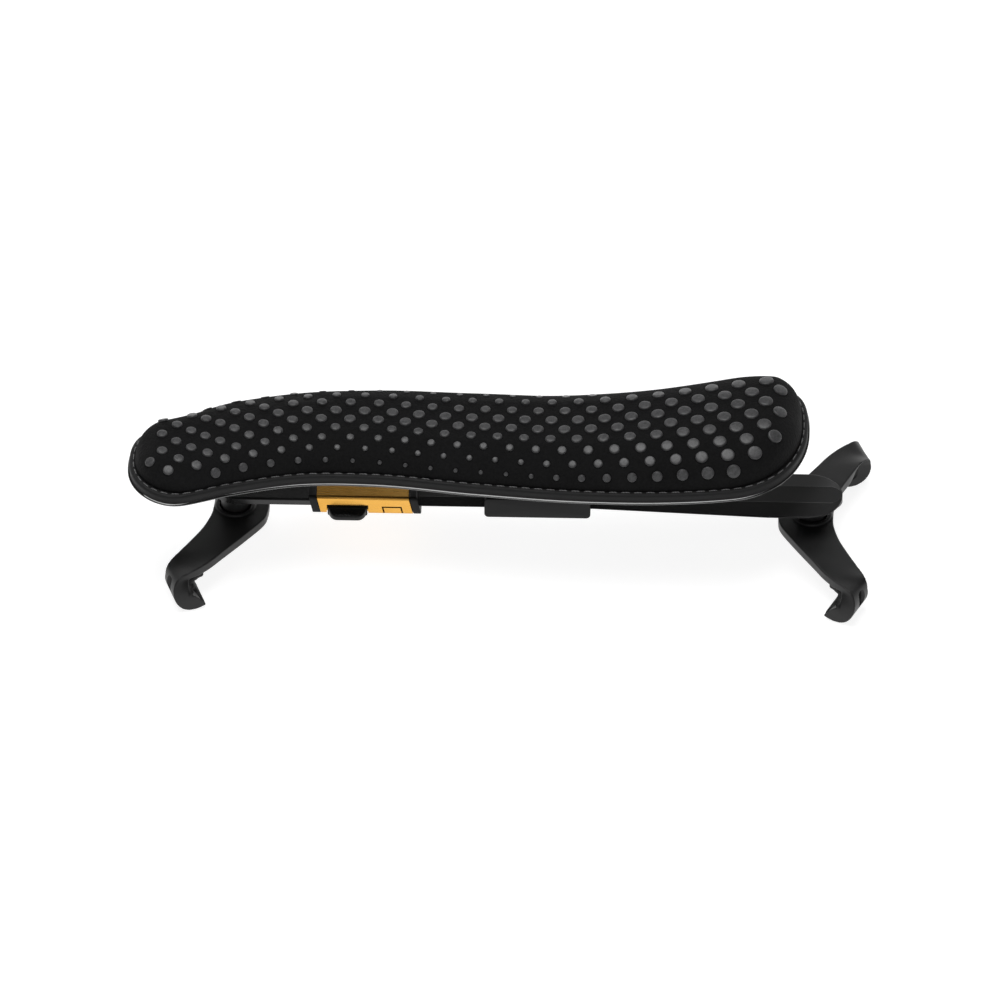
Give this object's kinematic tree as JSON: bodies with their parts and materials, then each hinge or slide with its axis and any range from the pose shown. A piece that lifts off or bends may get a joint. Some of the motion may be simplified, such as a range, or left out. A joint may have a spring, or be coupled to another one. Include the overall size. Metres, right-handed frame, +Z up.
{
  "type": "violin shoulder rest",
  "caption": "Padded, S-curved shoulder rest on a sliding bar with a push-button lock, carried by two swivelling forks with rubber-lined claws that grip a violin's edge.",
  "frame": {"origin": "middle of the footprint, on the surface that the four claws stand on", "axes": "+X along the bar from the sliding end to the fixed end, -Y towards the lock button, +Z up through the pad"},
  "size_m": [0.2374, 0.0872, 0.0499],
  "materials": {
    "black_plastic": "satin moulded",
    "shell_plastic": "gloss",
    "pad_fabric": "napped fabric with raised grip dots",
    "pad_board": "dense fibre board",
    "pad_foam": "foam",
    "gold_anodised": "satin anodised",
    "rubber": "soft moulded",
    "steel": "turned"
  },
  "bodies": {
    "frame": {"right_arm": "black_plastic", "slider_sleeve": "gold_anodised", "sleeve_end_cap": "black_plastic", "saddle_block": "black_plastic", "saddle_screw_1": "steel", "saddle_screw_2": "steel", "pad_riser": "black_plastic", "base_shell": "shell_plastic", "shell_screw_1": "steel", "shell_screw_2": "steel", "pad_backing": "pad_board", "edge_binding": "pad_fabric", "pad_foam": "pad_foam", "pad_cover": "pad_fabric", "right_post": "black_plastic", "lock_spring": "steel"},
    "left_rail": {"left_rail": "black_plastic", "rail_stop_pin": "steel", "left_post": "black_plastic"},
    "lock_button": {"lock_button": "black_plastic", "lock_bridge": "black_plastic"},
    "right_lift": {"right_height_screw": "steel", "right_friction_washer": "steel"},
    "right_fork": {"right_fork": "black_plastic", "right_front_grip": "rubber", "right_rear_grip": "rubber"},
    "left_lift": {"left_height_screw": "steel", "left_friction_washer": "steel"},
    "left_fork": {"left_fork": "black_plastic", "left_front_grip": "rubber", "left_rear_grip": "rubber"}
  },
  "joints": [
    {"name": "rail_slide", "type": "slide", "parent": "frame", "child": "left_rail", "axis": [-1, 0, 0], "range_m": [-0.01, 0.008]},
    {"name": "button_press", "type": "slide", "parent": "frame", "child": "lock_button", "axis": [0, 1, 0], "range_m": [0, 0.0014], "stiffness_N_per_m": 600, "springref_m": -0.0015, "deforming": ["lock_spring"]},
    {"name": "right_height", "type": "slide", "parent": "frame", "child": "right_lift", "axis": [0, 0, -1], "range_m": [0, 0.005]},
    {"name": "right_swivel", "type": "hinge", "parent": "right_lift", "child": "right_fork", "pos_m": [0.09998, -0.00057, 0.011], "axis": [0, 0, 1], "range_deg": [-40, 40]},
    {"name": "left_height", "type": "slide", "parent": "left_rail", "child": "left_lift", "axis": [0, 0, -1], "range_m": [0, 0.005]},
    {"name": "left_swivel", "type": "hinge", "parent": "left_lift", "child": "left_fork", "pos_m": [-0.08482, -0.00057, 0.011], "axis": [0, 0, 1], "range_deg": [-34.5, 45.5]}
  ]
}
